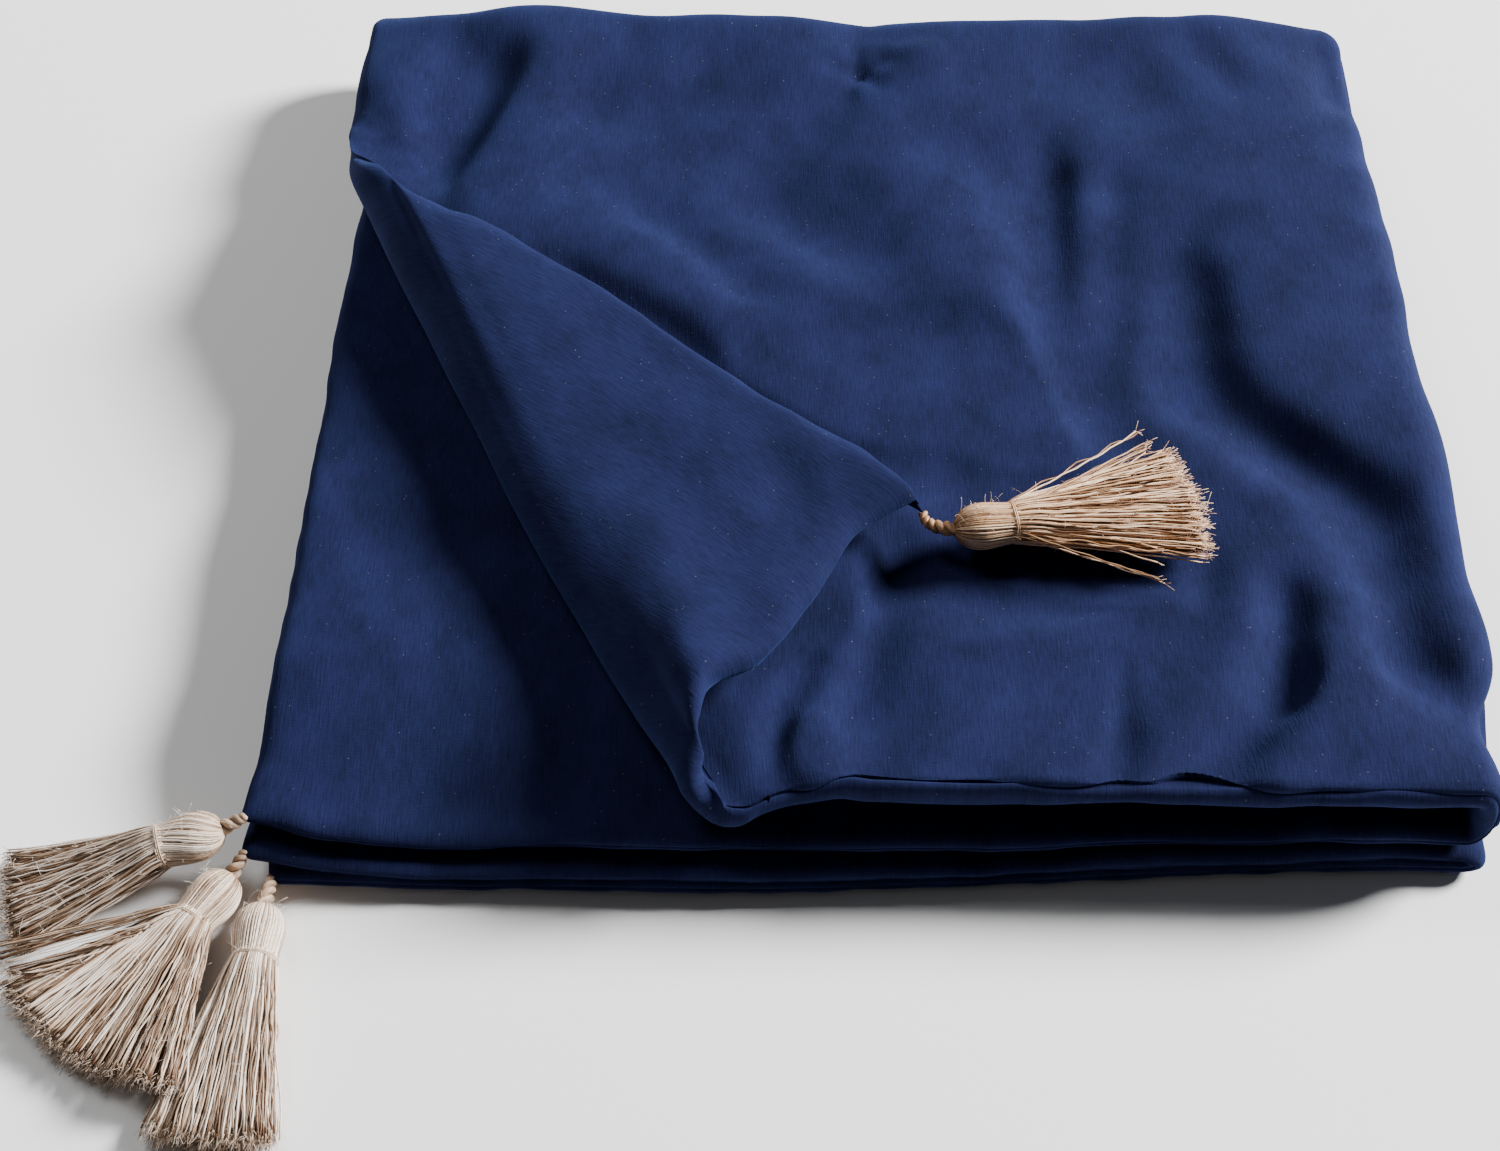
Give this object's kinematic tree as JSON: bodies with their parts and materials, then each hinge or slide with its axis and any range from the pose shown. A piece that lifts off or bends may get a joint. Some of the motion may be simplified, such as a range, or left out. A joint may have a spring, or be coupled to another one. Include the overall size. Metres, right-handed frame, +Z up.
{
  "type": "folded padded floor mat with tassels",
  "caption": "Square padded cotton floor mat, folded in four with its top corner turned back, and a jute tassel at each corner.",
  "frame": {"origin": "middle of the underside of the folded mat", "axes": "+Z up, +Y towards the back fold, +X towards the right fold; the open hems are at -X and -Y"},
  "size_m": [0.7279, 0.7671, 0.0878],
  "materials": {
    "face_cotton": "matte",
    "backing_cotton": "matte",
    "wadding": "matte",
    "tack_thread": "matte",
    "jute": "matte",
    "jute_thread": "matte"
  },
  "bodies": {
    "lower_half": {"lower_face_panel": "face_cotton", "lower_backing_panel": "backing_cotton", "lower_wadding": "wadding", "lower_tack_stitches": "tack_thread", "back_fold_outer_roll": "backing_cotton", "back_fold_inner_roll": "backing_cotton"},
    "upper_half": {"upper_face_panel": "face_cotton", "upper_backing_panel": "backing_cotton", "upper_wadding": "wadding", "upper_tack_stitches": "tack_thread", "corner_crease_roll": "backing_cotton"},
    "corner_flap": {"flap_face_panel": "face_cotton", "flap_backing_panel": "backing_cotton", "flap_wadding": "wadding"},
    "turned_tassel_cord": {"turned_tassel_cord": "jute"},
    "turned_tassel": {"turned_tassel_head": "jute", "turned_tassel_binding": "jute_thread", "turned_tassel_skirt": "jute"},
    "top_tassel_cord": {"top_tassel_cord": "jute"},
    "top_tassel": {"top_tassel_head": "jute", "top_tassel_binding": "jute_thread", "top_tassel_skirt": "jute"},
    "middle_tassel_cord": {"middle_tassel_cord": "jute"},
    "middle_tassel": {"middle_tassel_head": "jute", "middle_tassel_binding": "jute_thread", "middle_tassel_skirt": "jute"},
    "bottom_tassel_cord": {"bottom_tassel_cord": "jute"},
    "bottom_tassel": {"bottom_tassel_head": "jute", "bottom_tassel_binding": "jute_thread", "bottom_tassel_skirt": "jute"}
  },
  "joints": [
    {"name": "back_fold", "type": "hinge", "parent": "lower_half", "child": "upper_half", "pos_m": [0, 0.26925, 0.03075], "axis": [-1, 0, 0], "range_deg": [0, 172], "deforming": ["back_fold_outer_roll", "back_fold_inner_roll"]},
    {"name": "corner_fold", "type": "hinge", "parent": "upper_half", "child": "corner_flap", "pos_m": [-0.12336, -0.21168, 0.063], "axis": [0.4472, -0.8944, 0], "range_deg": [0, 170], "deforming": ["corner_crease_roll"]},
    {"name": "turned_tassel_swing", "type": "hinge", "parent": "corner_flap", "child": "turned_tassel_cord", "pos_m": [0.03, -0.137, 0.072], "axis": [0, 0, 1], "range_deg": [-60, 60]},
    {"name": "turned_tassel_lift", "type": "hinge", "parent": "turned_tassel_cord", "child": "turned_tassel", "pos_m": [0.045, -0.14, 0.0748], "axis": [-0.1736, 0.9848, 0], "range_deg": [-90, 0]},
    {"name": "top_tassel_swing", "type": "hinge", "parent": "upper_half", "child": "top_tassel_cord", "pos_m": [-0.3035, -0.298, 0.034], "axis": [0, 0, 1], "range_deg": [-60, 0]},
    {"name": "top_tassel_lift", "type": "hinge", "parent": "top_tassel_cord", "child": "top_tassel", "pos_m": [-0.312, -0.301, 0.03], "axis": [0.2924, -0.9563, 0], "range_deg": [-75, 0]},
    {"name": "middle_tassel_swing", "type": "hinge", "parent": "lower_half", "child": "middle_tassel_cord", "pos_m": [-0.3033, -0.31, 0.02], "axis": [0, 0, 1], "range_deg": [-8, 8]},
    {"name": "middle_tassel_lift", "type": "hinge", "parent": "middle_tassel_cord", "child": "middle_tassel", "pos_m": [-0.3085, -0.317, 0.0133], "axis": [0.8746, -0.4848, 0], "range_deg": [-40, 0]},
    {"name": "bottom_tassel_swing", "type": "hinge", "parent": "lower_half", "child": "bottom_tassel_cord", "pos_m": [-0.29, -0.3175, 0.0095], "axis": [0, 0, 1], "range_deg": [0, 65]},
    {"name": "bottom_tassel_lift", "type": "hinge", "parent": "bottom_tassel_cord", "child": "bottom_tassel", "pos_m": [-0.291, -0.334, 0.0133], "axis": [0.9998, 0.0175, 0], "range_deg": [-75, 0]}
  ]
}
